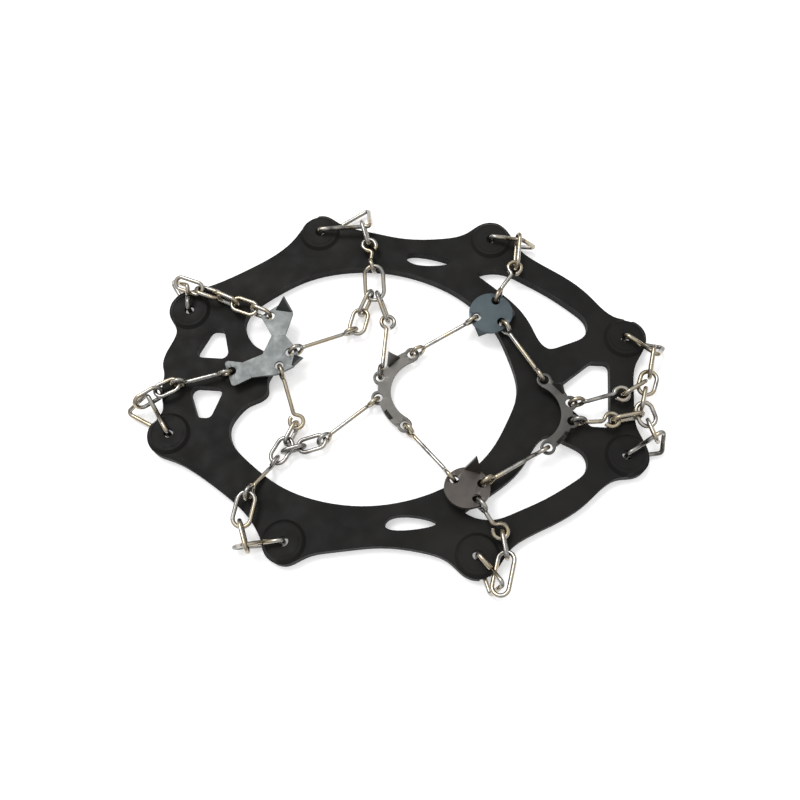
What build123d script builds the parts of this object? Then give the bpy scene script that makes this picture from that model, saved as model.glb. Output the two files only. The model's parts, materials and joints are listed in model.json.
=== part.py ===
from build123d import *
import os
from math import cos, radians, sin, sqrt

os.makedirs("parts", exist_ok=True)

# Pull-on shoe ice cleats: a flat moulded rubber harness with eight lugs, and a steel chain net of spike
# plates, rod links and oval rings that hooks hold to the lugs.
# Millimetres. +X points to the toe, +Z up, the harness lies flat on Z = 0 and is mirrored about Y = 0.

# ---------------------------------------------------------------- driving sizes
BAND_T = 4.2            # thickness of the rubber band
LUG_R = 7.6             # radius of the round lug pads
LUG_TOP = 5.2           # height of the lug pads
LUG_HOLE_R = 1.7        # hole that a hook passes through
LUG_RING_R = 5.6        # moulded ring round each lug hole
GROOVE_W = 3.6          # groove under a lug for the hook's lower leg
GROOVE_H = 3.3
WIRE_R = 0.75           # rings and rod links
HOOK_R = 0.8            # lug hooks
GAP = 0.7               # free play between two linked wires
EYE_R = 2.4             # centre-line radius of a rod link's eye
EYE_BEND_R = 1.5        # bend between shank and eye
EYE_WRAP = 307          # how far the eye's wire goes round, degrees
PLATE_T = 1.2           # spike plate sheet
PLATE_HOLE_R = 1.6
EAR_R = 2.6             # rounded ear of sheet round a plate hole
SPIKE_H = 8.0
SPIKE_W = 6.0
LOW = 3.3               # height of chain joints inside the foot opening
HIGH = 7.6              # height of chain joints over the rubber

# ---------------------------------------------------------------- harness outlines, half of each
LUGS = {
    "heel": (-78.0, 24.0),
    "rear_side": (-33.0, 59.3),
    "front_side": (32.0, 59.6),
    "toe": (81.6, 22.0),
}
OUTER = [
    (-84.0, 0.0), (-83.3, 9.0), (-81.8, 16.0), (-85.0, 21.0), (-85.3, 27.0), (-81.5, 31.4), (-76.5, 33.0),
    (-66.5, 37.4), (-56.5, 43.6), (-46.5, 51.4), (-41.0, 59.0), (-37.5, 65.0), (-32.0, 67.0), (-25.5, 63.8),
    (-16.0, 61.2), (-1.5, 58.8), (13.5, 59.4), (23.0, 62.4), (28.5, 66.6), (34.0, 67.2), (39.0, 63.0),
    (43.5, 56.0), (48.5, 52.1), (58.5, 46.4), (68.5, 38.9), (73.5, 33.6), (79.0, 30.0), (85.0, 28.8),
    (89.0, 24.5), (88.5, 18.5), (85.4, 12.0), (84.5, 0.0),
]
FOOT_OPENING = [
    (-45.3, 0.0), (-45.4, 6.3), (-47.5, 8.8), (-51.5, 11.0), (-55.0, 15.0), (-57.0, 20.0), (-55.5, 25.5),
    (-51.5, 30.0), (-46.5, 34.0), (-36.5, 40.3), (-21.5, 44.8), (-6.5, 45.4), (8.5, 42.3), (18.5, 38.0),
    (28.5, 30.8), (35.5, 22.5), (40.5, 12.0), (43.6, 0.0),
]
TOE_SLOT = [
    (27.3, 45.6), (33.0, 47.4), (38.5, 46.9), (43.5, 44.7), (53.5, 39.4), (63.5, 32.6), (67.7, 28.3),
    (68.3, 24.8), (66.5, 21.4), (63.0, 19.4), (58.0, 17.2), (54.5, 16.4), (52.0, 18.0), (48.5, 24.0),
    (43.5, 31.5), (38.5, 36.2), (33.5, 40.2), (28.5, 43.9),
]
TOE_HOLE = [(58.5, 2.6), (69.5, 12.3), (76.2, 12.3)]
HEEL_HOLE = [(-74.2, 5.6), (-60.6, 5.6), (-64.2, 17.4), (-69.0, 17.4)]
SIDE_SLIT = [(0.5, 50.9), (10.0, 47.6), (17.8, 49.6), (10.0, 52.4)]

# ---------------------------------------------------------------- spike plates
# A crescent plate is a sector of a ring between its two outermost holes, with an ear round each hole.
# Its holes are given as (angle, distance from the centre of the ring).
CENTRE_PLATE = {"at": (10.6, -2.2, LOW), "inner": 11.8, "outer": 16.4}
TOE_PLATE = {"at": (48.0, -10.0, HIGH), "inner": 10.6, "outer": 14.6}
CENTRE_HOLES = {"front": (111, 14.6), "upper": (166, 16.4), "lower": (193, 16.4), "rear": (246, 14.6)}
TOE_HOLES = {"front": (70, 13.4), "upper": (19, 14.4), "lower": (-8, 14.4), "rear": (-62, 13.4)}
ROUND_R = 7.8
ROUND_HOLE_R = 5.2
UPPER_PLATE = {"at": (33.0, 27.5, HIGH), "tilt": 0, "holes": {"rear": 200, "side": 72, "front": -40}}
LOWER_PLATE = {"at": (27.4, -38.0, 8.4), "tilt": -15, "holes": {"rear": 148, "side": -50, "front": 20}}
HEEL_PLATE_OUTLINE = [
    (-61.4, 3.3), (-57.0, -6.6), (-50.5, -2.6), (-41.5, -0.8), (-36.0, 2.6), (-35.2, 8.8), (-40.6, 14.5),
    (-38.6, 24.0), (-44.5, 26.2), (-50.4, 21.4), (-45.4, 14.0), (-47.8, 6.5), (-54.6, 2.9),
]
HEEL_HOLES = {"tail": (-58.0, -0.6), "lower": (-41.4, 2.6), "front": (-38.2, 8.0), "head": (-46.9, 21.8)}


def on_ring(plate, angle, radius):
    """A point of a crescent plate at this angle and distance from the centre of its ring."""
    x, y, z = plate["at"]
    return Vector(x + radius * cos(radians(angle)), y + radius * sin(radians(angle)), z)


def disc_plane(plate):
    """The middle plane of a round plate, tilted about the X axis."""
    tilt = radians(plate["tilt"])
    return Plane(origin=plate["at"], x_dir=(1, 0, 0), z_dir=(0, -sin(tilt), cos(tilt)))


def on_disc(plate, angle, radius=ROUND_HOLE_R):
    """A point of a round plate at this angle in its own plane."""
    local = Vector(radius * cos(radians(angle)), radius * sin(radians(angle)), 0)
    return disc_plane(plate).from_local_coords(local)


centre_hole = {name: on_ring(CENTRE_PLATE, *place) for name, place in CENTRE_HOLES.items()}
toe_hole = {name: on_ring(TOE_PLATE, *place) for name, place in TOE_HOLES.items()}
upper_hole = {name: on_disc(UPPER_PLATE, angle) for name, angle in UPPER_PLATE["holes"].items()}
lower_hole = {name: on_disc(LOWER_PLATE, angle) for name, angle in LOWER_PLATE["holes"].items()}
heel_hole = {name: Vector(x, y, HIGH) for name, (x, y) in HEEL_HOLES.items()}

# ---------------------------------------------------------------- chain joints, (x, y, z)
# A joint is the point where two wires cross; each wire passes it at half the free play.
J = {name: Vector(*point) for name, point in {
    "rear_hook_upper": (-16.4, 61.5, 8.4),
    "rear_upper_1": (-13.8, 54.4, HIGH),
    "rear_upper_2": (-10.9, 43.2, 7.8),
    "net_upper": (-9.7, 33.1, 4.8),
    "net_upper_rear": (-11.5, 34.0, 5.4),
    "net_upper_front": (-8.5, 34.0, 5.0),
    "net_upper_left": (-14.3, 27.3, LOW),
    "heel_link_end": (-15.6, 19.6, LOW),
    "heel_rod_end": (-16.6, 19.9, 3.4),
    "net_upper_right": (-4.2, 25.2, LOW),
    "net_upper_right_ring": (-4.6, 25.3, LOW),
    "net_left": (-33.7, -17.9, LOW),
    "net_left_rod": (-33.0, -17.8, 3.5),
    "net_left_mid": (-35.9, -24.0, 3.5),
    "net_left_low": (-39.2, -30.8, 3.1),
    "net_left_side": (-36.2, -27.5, LOW),
    "net_left_side_2": (-30.8, -25.6, LOW),
    "net_left_front": (-24.1, -23.2, LOW),
    "net_left_front_ring": (-23.8, -23.0, 3.5),
    "rear_lower_1": (-46.4, -45.1, 8.1),
    "rear_lower_2": (-47.6, -54.9, 7.8),
    "rear_hook_lower": (-44.2, -63.1, 8.5),
    "front_upper_1": (41.6, 47.8, HIGH),
    "front_hook_upper": (42.1, 59.0, 8.4),
    "front_lower_1": (39.9, -52.6, HIGH),
    "front_lower_2": (41.4, -59.5, 7.9),
    "front_hook_lower": (39.3, -71.6, 8.2),
    "heel_lower_1": (-77.6, -6.4, HIGH),
    "heel_lower_2": (-83.2, -9.8, HIGH),
    "heel_hook_lower": (-89.4, -14.7, 8.1),
    "heel_upper_1": (-53.4, 24.2, HIGH),
    "heel_upper_2": (-60.6, 26.4, HIGH),
    "heel_upper_3": (-67.8, 29.2, HIGH),
    "heel_upper_4": (-74.5, 31.0, 8.1),
    "heel_hook_upper": (-82.7, 33.3, 8.4),
    "toe_hook_upper": (90.8, 16.4, 8.5),
    "toe_chain_1": (89.4, 7.0, HIGH),
    "toe_chain_2": (87.6, 0.6, HIGH),
    "toe_side": (80.8, -0.4, HIGH),
    "toe_side_end": (86.8, 3.8, HIGH),
    "toe_chain_3": (86.4, -5.0, 7.9),
    "toe_low_side": (77.2, -10.4, HIGH),
    "toe_low_side_end": (85.5, -8.2, HIGH),
    "toe_chain_4": (88.7, -10.9, HIGH),
    "toe_hook_lower": (90.7, -16.6, 8.3),
}.items()}

# Rod links: name, first point, second point, roll of each eye; a plate hole is marked "hole".
RODS = [
    ("heel_rod_tail", heel_hole["tail"], J["heel_lower_1"], "hole", 83),
    ("heel_rod_lower", heel_hole["lower"], J["net_left_rod"], "hole", 3),
    ("heel_rod_front", heel_hole["front"], J["heel_rod_end"], "hole", 82),
    ("centre_rod_upper", centre_hole["upper"], J["net_upper_right"], "hole", -10),
    ("centre_rod_lower", centre_hole["lower"], J["net_left_front"], "hole", 75),
    ("centre_rod_rear", centre_hole["rear"], lower_hole["rear"], "hole", "hole"),
    ("centre_rod_front", centre_hole["front"], upper_hole["rear"], "hole", "hole"),
    ("upper_rod_side", upper_hole["side"], J["front_upper_1"], "hole", 0),
    ("upper_rod_front", upper_hole["front"], toe_hole["front"], "hole", "hole"),
    ("lower_rod_front", lower_hole["front"], toe_hole["rear"], "hole", "hole"),
    ("lower_rod_side", lower_hole["side"], J["front_lower_1"], "hole", -6),
    ("toe_rod_upper", toe_hole["upper"], J["toe_side"], "hole", 0),
    ("toe_rod_lower", toe_hole["lower"], J["toe_low_side"], "hole", 0),
    ("rear_rod_upper", J["rear_upper_1"], J["rear_upper_2"], 0, 80),
    ("rear_rod_lower", J["net_left_low"], J["rear_lower_1"], 80, 73),
]
HOLE_ROLL = 80

# Oval rings: name, first joint, second joint, half width, roll about the line between the joints.
RINGS = [
    ("rear_ring_upper_1", "rear_hook_upper", "rear_upper_1", 2.4, 80),
    ("rear_ring_upper_2", "rear_upper_2", "net_upper", 3.4, -3),
    ("net_ring_upper_1", "net_upper_rear", "net_upper_left", 2.3, 79),
    ("net_ring_upper_2", "net_upper_left", "heel_link_end", 2.8, 2),
    ("net_ring_upper_3", "net_upper_front", "net_upper_right_ring", 2.4, 75),
    ("net_ring_left_1", "net_left", "net_left_mid", 2.2, 79),
    ("net_ring_left_2", "net_left_mid", "net_left_low", 2.8, -4),
    ("net_ring_left_3", "net_left_side", "net_left_side_2", 2.3, 87),
    ("net_ring_left_4", "net_left_side_2", "net_left_front_ring", 2.4, 2),
    ("rear_ring_lower_1", "rear_lower_1", "rear_lower_2", 3.0, 1),
    ("rear_ring_lower_2", "rear_lower_2", "rear_hook_lower", 2.5, 93),
    ("front_ring_upper", "front_upper_1", "front_hook_upper", 2.5, 80),
    ("front_ring_lower_1", "front_lower_1", "front_lower_2", 2.2, 80),
    ("front_ring_lower_2", "front_lower_2", "front_hook_lower", 2.8, -15),
    ("heel_ring_lower_1", "heel_lower_1", "heel_lower_2", 2.4, 0),
    ("heel_ring_lower_2", "heel_lower_2", "heel_hook_lower", 2.6, 61),
    ("heel_ring_upper_1", "heel_upper_1", "heel_upper_2", 2.4, 5),
    ("heel_ring_upper_2", "heel_upper_2", "heel_upper_3", 2.3, 80),
    ("heel_ring_upper_3", "heel_upper_3", "heel_upper_4", 2.4, -37),
    ("heel_ring_upper_4", "heel_upper_4", "heel_hook_upper", 2.2, 24),
    ("toe_ring_1", "toe_hook_upper", "toe_chain_1", 2.4, 78),
    ("toe_ring_2", "toe_chain_1", "toe_chain_2", 2.8, 0),
    ("toe_ring_3", "toe_chain_2", "toe_chain_3", 2.2, 80),
    ("toe_ring_4", "toe_chain_3", "toe_chain_4", 2.8, -8),
    ("toe_ring_5", "toe_chain_4", "toe_hook_lower", 2.5, 68),
    ("toe_ring_side", "toe_side", "toe_side_end", 2.2, 80),
    ("toe_ring_low_side", "toe_low_side", "toe_low_side_end", 2.4, 94),
]

# Lug hooks: name, lug, side of the harness, lower outer corner, upper outer corner.
HOOKS = [
    ("rear_hook_upper", "rear_side", 1, (-15.4, 71.6, 2.2), (-13.6, 60.6, 8.8)),
    ("front_hook_upper", "front_side", 1, (49.6, 58.4, 2.2), (43.8, 57.6, 9.0)),
    ("toe_hook_upper", "toe", 1, (96.0, 20.0, 2.2), (92.0, 14.0, 9.0)),
    ("heel_hook_upper", "heel", 1, (-88.0, 37.0, 2.2), (-78.6, 31.4, 10.2)),
    ("rear_hook_lower", "rear_side", -1, (-51.0, -62.4, 2.2), (-45.4, -62.0, 9.0)),
    ("front_hook_lower", "front_side", -1, (37.0, -72.0, 2.2), (40.5, -69.2, 10.5)),
    ("toe_hook_lower", "toe", -1, (94.0, -19.6, 2.2), (93.6, -13.4, 8.5)),
    ("heel_hook_lower", "heel", -1, (-95.0, -16.6, 2.2), (-86.9, -11.2, 8.4)),
]
HOOK_LEG_LOW = 1.1      # centre of the leg under the lug
HOOK_LEG_HIGH = 7.4     # centre of the leg over the lug
HOOK_BEND_R = 1.3
HOOK_BUTT_GAP = 0.3


# ---------------------------------------------------------------- wire shapes
def piece_plane(start, end, roll, origin):
    """A plane with its X axis from start to end, rolled about that line; at roll 0 it lies flat."""
    along = (end - start).normalized()
    flat = along.cross(Vector(0, 0, 1)).normalized() * -1
    rise = along.cross(flat)
    normal = rise * cos(radians(roll)) + flat * sin(radians(roll))
    return Plane(origin=origin, x_dir=along, z_dir=normal)


def wire_section(path, radius):
    """The round wire's section, square to the start of its path."""
    return Plane(origin=path @ 0, z_dir=path % 0)


def oval_ring(name, start, end, half_width, roll):
    """A closed oval of wire that links the wires at two joints."""
    half_length = (end - start).length / 2 + WIRE_R + GAP / 2
    straight = half_length - half_width
    plane = piece_plane(start, end, roll, (start + end) * 0.5)
    with BuildPart() as ring:
        with BuildLine(plane) as path:
            Line((-straight, half_width), (straight, half_width))
            ThreePointArc((straight, half_width), (half_length, 0), (straight, -half_width))
            Line((straight, -half_width), (-straight, -half_width))
            ThreePointArc((-straight, -half_width), (-half_length, 0), (-straight, half_width))
        loop = path.wires()[0]
        with BuildSketch(wire_section(loop, WIRE_R)):
            Circle(WIRE_R)
        sweep(path=loop)
    ring.part.label = name
    export_step(ring.part, f"parts/{name}.step")


def eye_points(plane):
    """Points of one eye in its plane: shank end, bend, start, far side and end of the loop."""
    reach = sqrt(EYE_R ** 2 + 2 * EYE_R * EYE_BEND_R)
    bend_x, bend_y = -reach, EYE_BEND_R
    join_x = EYE_R * bend_x / (EYE_R + EYE_BEND_R)
    join_y = EYE_R * bend_y / (EYE_R + EYE_BEND_R)
    mid = Vector(join_x - bend_x, join_y - bend_y - EYE_BEND_R, 0).normalized() * EYE_BEND_R
    join_angle = Vector(join_x, join_y, 0).get_angle(Vector(1, 0, 0))
    middle_angle = radians(join_angle - EYE_WRAP / 2)
    end_angle = radians(join_angle - EYE_WRAP)
    local = [
        Vector(bend_x, 0, 0),
        Vector(bend_x + mid.X, bend_y + mid.Y, 0),
        Vector(join_x, join_y, 0),
        Vector(EYE_R * cos(middle_angle), EYE_R * sin(middle_angle), 0),
        Vector(EYE_R * cos(end_angle), EYE_R * sin(end_angle), 0),
    ]
    return [plane.from_local_coords(point) for point in local]


def rod_link(name, start, end, start_roll, end_roll):
    """A rod of wire with an open eye at each end."""
    along = (end - start).normalized()
    ends = []
    for point, outward, roll in ((start, along * -1, start_roll), (end, along, end_roll)):
        in_hole = roll == "hole"
        back = EYE_R if in_hole else EYE_R - WIRE_R - GAP / 2
        centre = point - outward * back
        plane = piece_plane(centre, centre + outward, HOLE_ROLL if in_hole else roll, centre)
        ends.append(eye_points(plane))
    first, second = ends
    with BuildPart() as rod:
        with BuildLine() as path:
            ThreePointArc(first[4], first[3], first[2])
            ThreePointArc(first[2], first[1], first[0])
            Line(first[0], second[0])
            ThreePointArc(second[0], second[1], second[2])
            ThreePointArc(second[2], second[3], second[4])
        wire = path.wires()[0]
        with BuildSketch(wire_section(wire, WIRE_R)):
            Circle(WIRE_R)
        sweep(path=wire)
    rod.part.label = name
    export_step(rod.part, f"parts/{name}.step")


def lug_hook(name, lug, side, low_corner, high_corner):
    """A loop of wire through a lug hole, with one leg over the rubber and one under it."""
    x, y = LUGS[lug]
    under, over = Vector(x, side * y, HOOK_LEG_LOW), Vector(x, side * y, HOOK_LEG_HIGH)
    low, high = Vector(*low_corner), Vector(*high_corner)
    leg = high - over
    middle = over + leg * 0.5
    butt = leg.normalized() * (HOOK_BUTT_GAP / 2)
    with BuildPart() as hook:
        with BuildLine() as path:
            FilletPolyline(middle - butt, over, under, low, high, middle + butt, radius=HOOK_BEND_R)
        loop = path.wires()[0]
        with BuildSketch(wire_section(loop, HOOK_R)):
            Circle(HOOK_R)
        sweep(path=loop)
    hook.part.label = name
    export_step(hook.part, f"parts/{name}.step")


# ---------------------------------------------------------------- spike plates
def spike_plane(foot, outward, bend):
    """A plane standing on a plate's edge, its Y axis pointing outwards and bent up by this angle."""
    out = Vector(*outward).normalized()
    tip = out * cos(radians(bend)) + Vector(0, 0, 1) * sin(radians(bend))
    across = Vector(0, 0, 1).cross(out)
    return Plane(origin=foot, x_dir=across, z_dir=across.cross(tip))


def spike(foot, outward, bend, height=SPIKE_H, width=SPIKE_W):
    """One pointed tooth, to be added to a plate."""
    with BuildPart() as tooth:
        with BuildSketch(spike_plane(foot, outward, bend)):
            Polygon((-width / 2, 0), (width / 2, 0), (0, height), align=None)
        extrude(amount=PLATE_T / 2, both=True)
    return tooth.part


def crescent_plate(name, spec, holes, spikes):
    """A sector of a ring between its first and last hole, with an ear round each hole and bent teeth."""
    x, y, z = spec["at"]
    turns = sorted(angle for angle, _ in holes.values())
    first, middle, last = turns[0], (turns[0] + turns[-1]) / 2, turns[-1]
    inside = [on_ring(spec, angle, spec["inner"]) for angle in (first, middle, last)]
    outside = [on_ring(spec, angle, spec["outer"]) for angle in (last, middle, first)]
    teeth = []
    for angle, bend, height, width in spikes:
        foot = on_ring(spec, angle, spec["outer"] - 1.0)
        teeth.append(spike(foot, foot - Vector(x, y, z), bend, height, width))
    with BuildPart() as plate:
        with BuildSketch(Plane.XY.offset(z)):
            with BuildLine():
                ThreePointArc(*[(point.X, point.Y) for point in inside])
                Line((inside[2].X, inside[2].Y), (outside[0].X, outside[0].Y))
                ThreePointArc(*[(point.X, point.Y) for point in outside])
                Line((outside[2].X, outside[2].Y), (inside[0].X, inside[0].Y))
            make_face()
            centres = [on_ring(spec, *place) for place in holes.values()]
            with Locations(*[(point.X, point.Y) for point in centres]):
                Circle(EAR_R)
                Circle(PLATE_HOLE_R, mode=Mode.SUBTRACT)
        extrude(amount=PLATE_T / 2, both=True)
        add(teeth)
    plate.part.label = name
    export_step(plate.part, f"parts/{name}.step")


def round_plate(name, spec, spikes):
    """A round plate with three holes and bent teeth round its edge."""
    plane = disc_plane(spec)
    teeth = []
    for angle, bend, height in spikes:
        foot = on_disc(spec, angle, ROUND_R - 1.0)
        teeth.append(spike(foot, foot - Vector(*spec["at"]), bend, height))
    with BuildPart() as plate:
        with BuildSketch(plane):
            Circle(ROUND_R)
            for angle in spec["holes"].values():
                local = Vector(ROUND_HOLE_R * cos(radians(angle)), ROUND_HOLE_R * sin(radians(angle)), 0)
                with Locations(local):
                    Circle(PLATE_HOLE_R, mode=Mode.SUBTRACT)
        extrude(amount=PLATE_T / 2, both=True)
        add(teeth)
    plate.part.label = name
    export_step(plate.part, f"parts/{name}.step")


def heel_plate(name):
    """A plate with three arms and concave sides."""
    teeth = [
        spike(Vector(-42.2, 24.2, HIGH), (0.1, 1, 0), 62, 6.5, 6.4),
        spike(Vector(-36.4, 4.9, HIGH), (1, -0.1, 0), 50, 6.0, 4.4),
    ]
    with BuildPart() as plate:
        with BuildSketch(Plane.XY.offset(HIGH)) as outline:
            Polygon(*HEEL_PLATE_OUTLINE, align=None)
            fillet(outline.vertices(), 1.0)
            for x, y in HEEL_HOLES.values():
                with Locations((x, y)):
                    Circle(PLATE_HOLE_R, mode=Mode.SUBTRACT)
        extrude(amount=PLATE_T / 2, both=True)
        add(teeth)
    plate.part.label = name
    export_step(plate.part, f"parts/{name}.step")


# ---------------------------------------------------------------- rubber harness
def mirrored(half):
    """Closes a half outline with its mirror image."""
    return half + [(x, -y) for x, y in reversed(half) if y > 0]


def harness():
    """The one-piece moulded harness: band, lugs, foot opening, toe slots, side slits and heel holes."""
    with BuildPart() as body:
        for outline, mode in ((OUTER, Mode.ADD), (FOOT_OPENING, Mode.SUBTRACT)):
            with BuildSketch():
                with BuildLine():
                    Spline(*mirrored(outline), periodic=True)
                make_face()
            extrude(amount=BAND_T, mode=mode)
        with BuildSketch() as toe_hole:
            Polygon(*mirrored(TOE_HOLE), align=None)
            fillet(toe_hole.vertices(), 2.0)
        extrude(amount=BAND_T, mode=Mode.SUBTRACT)
        with BuildSketch() as side_holes:
            with BuildLine():
                Spline(*TOE_SLOT, periodic=True)
            make_face()
            with BuildLine():
                Spline(*SIDE_SLIT, periodic=True)
            make_face()
            with BuildSketch(mode=Mode.PRIVATE) as heel_hole:
                Polygon(*HEEL_HOLE, align=None)
                fillet(heel_hole.vertices(), 2.4)
            add(heel_hole.sketch)
            mirror(about=Plane.XZ)
        extrude(amount=BAND_T, mode=Mode.SUBTRACT)
        lugs = [(x, side * y) for x, y in LUGS.values() for side in (1, -1)]
        with BuildSketch(Plane.XY.offset(BAND_T - 1)):
            with Locations(*lugs):
                Circle(LUG_R)
        extrude(amount=LUG_TOP - BAND_T + 1)
        with BuildSketch(Plane.XY.offset(LUG_TOP)):
            with Locations(*lugs):
                Circle(LUG_RING_R + 0.4)
                Circle(LUG_RING_R - 0.4, mode=Mode.SUBTRACT)
        extrude(amount=-0.4, mode=Mode.SUBTRACT)
        with BuildSketch():
            with Locations(*lugs):
                Circle(LUG_HOLE_R)
        extrude(amount=LUG_TOP, mode=Mode.SUBTRACT)
        with BuildSketch():
            for _, lug, side, low_corner, _ in HOOKS:
                x, y = LUGS[lug]
                run = Vector(low_corner[0] - x, low_corner[1] - side * y, 0)
                turn = run.get_signed_angle(Vector(1, 0, 0), Vector(0, 0, -1))
                with Locations(Location((x, side * y, 0), (0, 0, turn))):
                    Circle(GROOVE_W / 2)
                    Rectangle(run.length, GROOVE_W, align=(Align.MIN, Align.CENTER))
        extrude(amount=GROOVE_H, mode=Mode.SUBTRACT)
    body.part.label = "rubber_harness"
    export_step(body.part, "parts/rubber_harness.step")


# ---------------------------------------------------------------- the assembly
harness()
heel_plate("heel_spike_plate")
crescent_plate("centre_spike_plate", CENTRE_PLATE, CENTRE_HOLES, [(138, 72, 6.5, 6.0), (220, 80, 3.0, 5.0)])
crescent_plate("toe_spike_plate", TOE_PLATE, TOE_HOLES, [(46, 80, 4.5, 6.0), (-37, 80, 4.5, 6.0)])
round_plate("upper_spike_plate", UPPER_PLATE, [(135, -55, 3.4), (245, -55, 3.4), (10, -55, 3.4)])
round_plate("lower_spike_plate", LOWER_PLATE, [(76, 72, 9.0)])
for name, start, end, start_roll, end_roll in RODS:
    rod_link(name, start, end, start_roll, end_roll)
for name, start, end, half_width, roll in RINGS:
    oval_ring(name, J[start], J[end], half_width, roll)
head = heel_hole["head"]
from_head = (J["heel_upper_1"] - head).normalized()
oval_ring("heel_ring_head", head + from_head * (WIRE_R + GAP / 2), J["heel_upper_1"], 2.4, 75)
for hook in HOOKS:
    lug_hook(*hook)
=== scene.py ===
"""Shoe ice cleats: the rubber harness and its chain net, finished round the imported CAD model."""
import json
import math

import bmesh
import bpy
from mathutils import Matrix, Vector, noise

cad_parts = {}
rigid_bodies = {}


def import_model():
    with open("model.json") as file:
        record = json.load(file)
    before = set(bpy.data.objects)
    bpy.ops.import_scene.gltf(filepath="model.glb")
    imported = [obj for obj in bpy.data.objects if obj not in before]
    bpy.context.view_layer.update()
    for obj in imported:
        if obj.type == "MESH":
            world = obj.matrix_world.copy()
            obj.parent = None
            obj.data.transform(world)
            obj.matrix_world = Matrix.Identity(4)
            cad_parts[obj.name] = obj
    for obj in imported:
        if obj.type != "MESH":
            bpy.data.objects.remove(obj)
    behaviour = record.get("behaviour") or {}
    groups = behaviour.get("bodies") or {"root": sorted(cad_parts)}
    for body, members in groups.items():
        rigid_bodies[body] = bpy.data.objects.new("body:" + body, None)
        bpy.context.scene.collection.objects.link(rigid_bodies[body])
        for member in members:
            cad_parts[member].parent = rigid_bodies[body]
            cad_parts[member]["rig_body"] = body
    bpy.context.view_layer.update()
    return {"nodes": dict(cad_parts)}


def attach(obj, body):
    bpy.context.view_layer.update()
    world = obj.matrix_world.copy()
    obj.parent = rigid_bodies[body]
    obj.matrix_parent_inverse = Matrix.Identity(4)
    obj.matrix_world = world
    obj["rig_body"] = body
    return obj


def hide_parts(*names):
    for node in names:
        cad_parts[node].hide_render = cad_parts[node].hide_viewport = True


MM = 0.001

# ---------------------------------------------------------------- camera and light
CAMERA_PLACE = Vector((0.0187, -0.1082, 0.2872))
CAMERA_AZIMUTH = 9.1        # degrees
CAMERA_ELEVATION = 70.0
CAMERA_ROLL = 5.3
LENS = 38.25                # mm on a 36 mm sensor
WORLD_TOP = (1.0, 1.0, 1.0, 1)
WORLD_EDGE = (0.12, 0.11, 0.10, 1)
WORLD_STRENGTH = 0.95
SUN_STRENGTH = 1.3
SUN_ANGLE = 25.0            # degrees, wide for soft shadows
SUN_SIDE = Vector((-0.35, 0.4, 1.0))        # from the harness towards the sun
FLOOR_SIZE = 3.0
FLOOR_GAP = 0.0002
FLOOR_COLOUR = (0.93, 0.93, 0.93, 1)
FLOOR_GLOW = 0.35           # thins the shadows, as on a light table

# ---------------------------------------------------------------- sizes
WELD_DISTANCE = 0.002 * MM
FLAT_ANGLE = 1.0            # degrees; triangles that meet at less are one flat face
SHARP_ANGLE = 38.0          # degrees; edges that bend more are rounded
WIRE_CREASE = 50.0          # degrees; only a wire's cut ends stay sharp
RUBBER_EDGE = 0.7 * MM      # rounding of the moulding's edges
PLATE_EDGE = 0.18 * MM      # rounding of the stamped sheet's edges
LUG_PLACES = [(-78.0, 24.0), (-33.0, 59.3), (32.0, 59.6), (81.6, 22.0)]     # mm, mirrored about Y = 0
LUG_RADIUS = 7.6 * MM
LUG_TOP = 5.2 * MM
LUG_SHOULDER = 1.2 * MM     # how far a lug pad's side slopes inwards
RING_DEPTH = 0.4 * MM       # depth of the moulded ring round a lug hole in the CAD
RING_WORN_DEPTH = 0.12 * MM
LUG_SLACK = 0.06 * MM       # how far a vertex may lie from the height or radius it is known by
WIRE_WANDER = 0.12 * MM     # how far a bent wire strays from its ideal line
WIRE_WANDER_LENGTH = 7 * MM
SEED_STEP = 1.37            # between the wanders of two wires
SHANK_SHARE = 0.62          # share of a rod link's half length that waves
SHANK_TURN = 3.5            # radians of wave per half length
SHANK_WAVE = 0.65 * MM      # sideways wave of a rod link's shank

# ---------------------------------------------------------------- looks
RUBBER_COLOURS = [(0.30, (0.0056, 0.0053, 0.0048, 1)), (0.55, (0.0084, 0.0080, 0.0072, 1)),
                  (0.75, (0.0140, 0.0128, 0.0108, 1))]      # from clean rubber to dusty
WIRE_COLOURS = [(0.30, (0.12, 0.11, 0.10, 1)), (0.45, (0.40, 0.39, 0.37, 1)),
                (0.60, (0.46, 0.39, 0.27, 1)), (0.72, (0.24, 0.22, 0.20, 1))]
RUBBER_ROUGHNESS = (0.52, 0.72)
PLATE_ROUGHNESS = (0.34, 0.48)
WIRE_ROUGHNESS = (0.16, 0.34)
TARNISH_DARK = 0.80         # a plate's darkest and lightest patches, as shares of its tint
TARNISH_LIGHT = 1.15
PLATE_TINTS = {
    "heel_spike_plate": (0.100, 0.106, 0.105, 1),
    "centre_spike_plate": (0.10, 0.096, 0.088, 1),
    "toe_spike_plate": (0.085, 0.083, 0.078, 1),
    "upper_spike_plate": (0.060, 0.077, 0.085, 1),
    "lower_spike_plate": (0.105, 0.094, 0.086, 1),
}


# ---------------------------------------------------------------- stage
def add_camera():
    """The photograph's view, from the near right, high above the harness."""
    turn, lift, roll = (math.radians(a) for a in (CAMERA_AZIMUTH, CAMERA_ELEVATION, CAMERA_ROLL))
    back = Vector((math.sin(turn) * math.cos(lift), -math.cos(turn) * math.cos(lift), math.sin(lift)))
    level = Vector((math.cos(turn), math.sin(turn), 0))
    rise = back.cross(level)
    right = level * math.cos(roll) - rise * math.sin(roll)
    up = level * math.sin(roll) + rise * math.cos(roll)
    camera = bpy.data.objects.new("camera", bpy.data.cameras.new("camera"))
    camera.matrix_world = Matrix.Translation(CAMERA_PLACE) @ Matrix((right, up, back)).transposed().to_4x4()
    camera.data.lens = LENS
    camera.data.clip_start = 0.01
    bpy.context.scene.collection.objects.link(camera)
    bpy.context.scene.camera = camera


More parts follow.
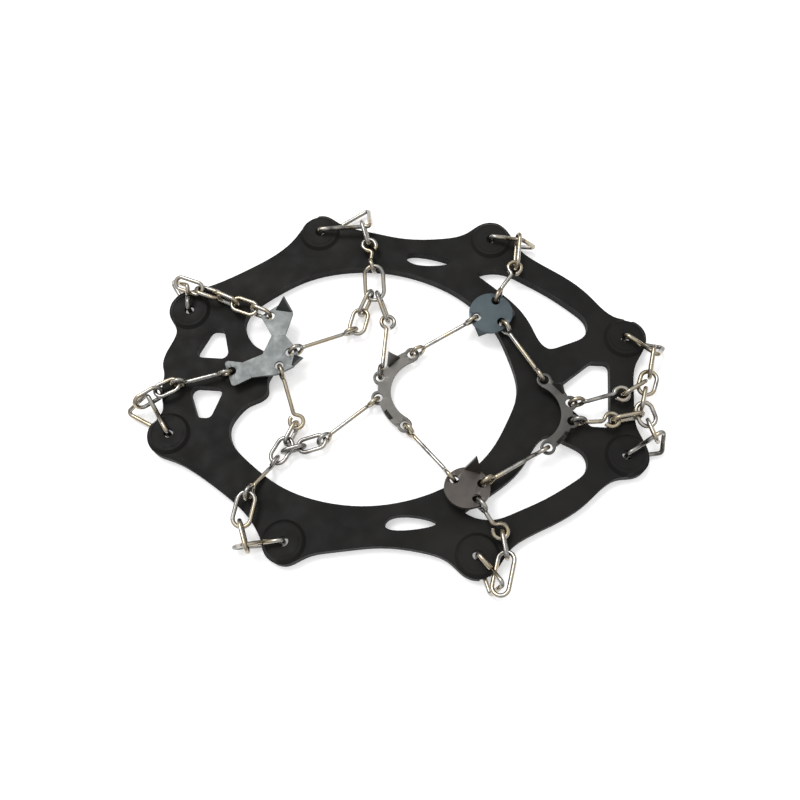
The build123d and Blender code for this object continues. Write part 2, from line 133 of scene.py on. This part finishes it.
def add_world():
    """A soft studio: bright overhead and dim near the horizon, so that polished wire has contrast."""
    world = bpy.data.worlds.new("studio")
    bpy.context.scene.world = world
    world.use_nodes = True
    nodes, links = world.node_tree.nodes, world.node_tree.links
    place = nodes.new("ShaderNodeTexCoord")
    split = nodes.new("ShaderNodeSeparateXYZ")
    ramp = nodes.new("ShaderNodeValToRGB")
    ramp.color_ramp.elements[0].position = 0.15
    ramp.color_ramp.elements[0].color = WORLD_EDGE
    ramp.color_ramp.elements[1].position = 0.75
    ramp.color_ramp.elements[1].color = WORLD_TOP
    links.new(place.outputs["Generated"], split.inputs[0])
    links.new(split.outputs["Z"], ramp.inputs["Fac"])
    links.new(ramp.outputs["Color"], nodes["Background"].inputs["Color"])
    nodes["Background"].inputs["Strength"].default_value = WORLD_STRENGTH


def add_sun():
    """One wide soft light from above and behind."""
    light = bpy.data.lights.new("sun", "SUN")
    light.energy = SUN_STRENGTH
    light.angle = math.radians(SUN_ANGLE)
    sun = bpy.data.objects.new("sun", light)
    sun.rotation_euler = SUN_SIDE.to_track_quat("Z", "Y").to_euler()
    bpy.context.scene.collection.objects.link(sun)


def add_floor():
    """A plain near-white floor just under the rubber."""
    mesh = bpy.data.meshes.new("floor")
    half = FLOOR_SIZE / 2
    corners = [(-half, -half), (half, -half), (half, half), (-half, half)]
    mesh.from_pydata([(x, y, -FLOOR_GAP) for x, y in corners], [], [(0, 1, 2, 3)])
    floor = bpy.data.objects.new("floor", mesh)
    bpy.context.scene.collection.objects.link(floor)
    material = bpy.data.materials.new("floor")
    material.use_nodes = True
    shader = material.node_tree.nodes["Principled BSDF"]
    shader.inputs["Base Color"].default_value = FLOOR_COLOUR
    shader.inputs["Roughness"].default_value = 0.9
    shader.inputs["Specular IOR Level"].default_value = 0.1
    shader.inputs["Emission Color"].default_value = (1, 1, 1, 1)
    shader.inputs["Emission Strength"].default_value = FLOOR_GLOW
    mesh.materials.append(material)


# ---------------------------------------------------------------- materials
def new_material(name):
    """An empty node material, its tree and its shader."""
    material = bpy.data.materials.new(name)
    material.use_nodes = True
    tree = material.node_tree
    return material, tree, tree.nodes["Principled BSDF"]


def noise_node(tree, scale, detail=4.0, stretch=(1, 1, 1)):
    """Noise in the object's own metres: a scale of 1000 gives grains of about 1 mm."""
    place = tree.nodes.new("ShaderNodeTexCoord")
    mapping = tree.nodes.new("ShaderNodeMapping")
    mapping.inputs["Scale"].default_value = stretch
    texture = tree.nodes.new("ShaderNodeTexNoise")
    texture.inputs["Scale"].default_value = scale
    texture.inputs["Detail"].default_value = detail
    tree.links.new(place.outputs["Object"], mapping.inputs["Vector"])
    tree.links.new(mapping.outputs["Vector"], texture.inputs["Vector"])
    return texture


def ramp_node(tree, source, stops):
    """A colour ramp of (position, colour) stops."""
    ramp = tree.nodes.new("ShaderNodeValToRGB")
    elements = ramp.color_ramp.elements
    while len(elements) < len(stops):
        elements.new(0.5)
    for element, (position, colour) in zip(elements, stops):
        element.position = position
        element.color = colour
    tree.links.new(source.outputs["Fac"], ramp.inputs["Fac"])
    return ramp


def range_node(tree, source, low, high):
    """The middle of a noise's values spread over the range from low to high."""
    spread = tree.nodes.new("ShaderNodeMapRange")
    spread.inputs["From Min"].default_value = 0.3
    spread.inputs["From Max"].default_value = 0.7
    spread.inputs["To Min"].default_value = low
    spread.inputs["To Max"].default_value = high
    tree.links.new(source.outputs["Fac"], spread.inputs["Value"])
    return spread


def patch_roughness(tree, shader, scale, low, high):
    """Gives the shader a roughness that varies in patches from low to high."""
    rough = range_node(tree, noise_node(tree, scale), low, high)
    tree.links.new(rough.outputs[0], shader.inputs["Roughness"])


def bump_node(tree, source, strength, distance, below=None):
    """A bump from a noise, on top of another bump if one is given."""
    bump = tree.nodes.new("ShaderNodeBump")
    bump.inputs["Strength"].default_value = strength
    bump.inputs["Distance"].default_value = distance
    tree.links.new(source.outputs["Fac"], bump.inputs["Height"])
    if below:
        tree.links.new(below.outputs["Normal"], bump.inputs["Normal"])
    return bump


def rubber_material():
    """Matte near-black moulded rubber: faint mottling, fine mould grain and slow waves."""
    material, tree, shader = new_material("harness_rubber")
    cloud = noise_node(tree, 45)
    dust = ramp_node(tree, cloud, RUBBER_COLOURS)
    tree.links.new(dust.outputs["Color"], shader.inputs["Base Color"])
    patch_roughness(tree, shader, 180, *RUBBER_ROUGHNESS)
    wave = bump_node(tree, noise_node(tree, 60, 2.0), 0.25, 0.6 * MM)
    grain = bump_node(tree, noise_node(tree, 2600, 6.0), 0.22, 0.05 * MM, wave)
    tree.links.new(grain.outputs["Normal"], shader.inputs["Normal"])
    shader.inputs["Specular IOR Level"].default_value = 0.16
    shader.inputs["Sheen Weight"].default_value = 0.01
    shader.inputs["Sheen Roughness"].default_value = 0.5
    return material


def plate_material(name, tint):
    """Satin stamped sheet: fine rolling lines and cloudy tarnish."""
    material, tree, shader = new_material(name)
    cloud = noise_node(tree, 160)
    dark = tuple(c * TARNISH_DARK for c in tint[:3]) + (1,)
    light = tuple(c * TARNISH_LIGHT for c in tint[:3]) + (1,)
    colour = ramp_node(tree, cloud, [(0.30, dark), (0.52, tint), (0.75, light)])
    tree.links.new(colour.outputs["Color"], shader.inputs["Base Color"])
    shader.inputs["Metallic"].default_value = 0.85
    rolled = noise_node(tree, 3000, 3.0, (0.08, 1, 1))
    patch_roughness(tree, shader, 300, *PLATE_ROUGHNESS)
    lines = bump_node(tree, rolled, 0.3, 0.01 * MM)
    tree.links.new(lines.outputs["Normal"], shader.inputs["Normal"])
    return material


def wire_material():
    """Polished plated wire with warm and dark patches and a slightly lumpy, drawn surface."""
    material, tree, shader = new_material("chain_wire")
    patches = noise_node(tree, 130, 3.0)
    colour = ramp_node(tree, patches, WIRE_COLOURS)
    tree.links.new(colour.outputs["Color"], shader.inputs["Base Color"])
    shader.inputs["Metallic"].default_value = 1.0
    patch_roughness(tree, shader, 700, *WIRE_ROUGHNESS)
    drawn = bump_node(tree, noise_node(tree, 1500, 5.0), 0.2, 0.03 * MM)
    lumps = bump_node(tree, noise_node(tree, 350, 2.0), 0.3, 0.12 * MM, drawn)
    tree.links.new(lumps.outputs["Normal"], shader.inputs["Normal"])
    return material


# ---------------------------------------------------------------- pieces
def copy_of(node_name, name):
    """A welded copy of a CAD node's mesh that rides on its body and replaces it."""
    source = frame["nodes"][node_name]
    mesh = source.data.copy()
    mesh.name = name
    mesh.materials.clear()
    shape = bmesh.new()
    shape.from_mesh(mesh)
    bmesh.ops.remove_doubles(shape, verts=shape.verts, dist=WELD_DISTANCE)
    bmesh.ops.recalc_face_normals(shape, faces=shape.faces)
    shape.to_mesh(mesh)
    shape.free()
    piece = bpy.data.objects.new(name, mesh)
    bpy.context.scene.collection.objects.link(piece)
    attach(piece, source["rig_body"])
    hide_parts(node_name)
    return piece


def apply_modifiers(piece):
    """Bakes a piece's modifiers into its mesh."""
    graph = bpy.context.evaluated_depsgraph_get()
    mesh = bpy.data.meshes.new_from_object(piece.evaluated_get(graph))
    piece.modifiers.clear()
    piece.data = mesh


def merge_flats(piece):
    """Merges the flat triangles of a piece into whole faces."""
    shape = bmesh.new()
    shape.from_mesh(piece.data)
    limit = math.radians(FLAT_ANGLE)
    bmesh.ops.dissolve_limit(shape, angle_limit=limit, verts=shape.verts, edges=shape.edges)
    shape.to_mesh(piece.data)
    shape.free()


def round_edges(piece, width, segments):
    """Rounds the sharp edges of a piece and keeps its flat faces flat."""
    piece.data.shade_smooth()
    bevel = piece.modifiers.new("round", "BEVEL")
    bevel.width = width
    bevel.segments = segments
    bevel.limit_method = "ANGLE"
    bevel.angle_limit = math.radians(SHARP_ANGLE)
    bevel.use_clamp_overlap = True
    piece.modifiers.new("normals", "WEIGHTED_NORMAL")
    apply_modifiers(piece)


def wander(point, seed, amount, length):
    """A smooth pseudo-random offset at a point."""
    return noise.noise_vector(point / length + Vector((seed, seed * 0.7, -seed))) * amount


def long_axis(mesh):
    """The middle of a mesh, the direction of its longest extent and half that extent."""
    middle = sum((v.co for v in mesh.vertices), Vector()) / len(mesh.vertices)
    far = max(mesh.vertices, key=lambda v: (v.co - middle).length).co
    other = max(mesh.vertices, key=lambda v: (v.co - far).length).co
    along = (far - other).normalized()
    return (far + other) / 2, along, (far - other).length / 2


def wire_piece(node_name, material, seed):
    """Bent wire: a slightly irregular copy of its CAD node, with a wavy shank if it is a rod link."""
    piece = copy_of(node_name, node_name + "_wire")
    middle, along, half = long_axis(piece.data)
    side = along.cross(Vector((0, 0, 1))).normalized()
    is_rod = "_rod_" in node_name
    for vertex in piece.data.vertices:
        offset = wander(vertex.co, seed, WIRE_WANDER, WIRE_WANDER_LENGTH)
        if is_rod:
            share = (vertex.co - middle).dot(along) / half
            window = max(0.0, 1 - (share / SHANK_SHARE) ** 2)
            offset += side * SHANK_WAVE * window * math.sin(SHANK_TURN * share + seed)
        vertex.co += offset
    piece.data.shade_smooth()
    piece.data.set_sharp_from_angle(angle=math.radians(WIRE_CREASE))
    piece.data.materials.append(material)


def plate_piece(node_name, tint):
    """A stamped plate with rounded edges and its own tarnish."""
    piece = copy_of(node_name, node_name + "_sheet")
    round_edges(piece, PLATE_EDGE, 2)
    piece.data.materials.append(plate_material(node_name + "_steel", tint))


def soften_lugs(piece):
    """Slopes the side of each lug pad and makes the ring round its hole shallow."""
    centres = [Vector((x, side * y)) * MM for x, y in LUG_PLACES for side in (1, -1)]
    for vertex in piece.data.vertices:
        flat = vertex.co.xy
        centre = min(centres, key=lambda c: (flat - c).length)
        away = flat - centre
        if vertex.co.z > LUG_TOP - LUG_SLACK and away.length > LUG_RADIUS - LUG_SLACK:
            vertex.co.xy = centre + away.normalized() * (LUG_RADIUS - LUG_SHOULDER)
        elif abs(vertex.co.z - LUG_TOP + RING_DEPTH) < LUG_SLACK:
            vertex.co.z = LUG_TOP - RING_WORN_DEPTH


def harness_piece():
    """The moulded harness with rounded edges and soft lugs."""
    piece = copy_of("rubber_harness", "harness_moulding")
    soften_lugs(piece)
    merge_flats(piece)
    round_edges(piece, RUBBER_EDGE, 3)
    piece.data.materials.append(rubber_material())


# ---------------------------------------------------------------- the scene
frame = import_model()
bpy.context.scene.view_settings.view_transform = "Standard"
add_camera()
add_world()
add_floor()
add_sun()
harness_piece()
for plate_name, plate_tint in PLATE_TINTS.items():
    plate_piece(plate_name, plate_tint)
wire = wire_material()
wire_names = sorted(n for n in frame["nodes"] if n not in PLATE_TINTS and n != "rubber_harness")
for number, wire_name in enumerate(wire_names):
    wire_piece(wire_name, wire, number * SEED_STEP)
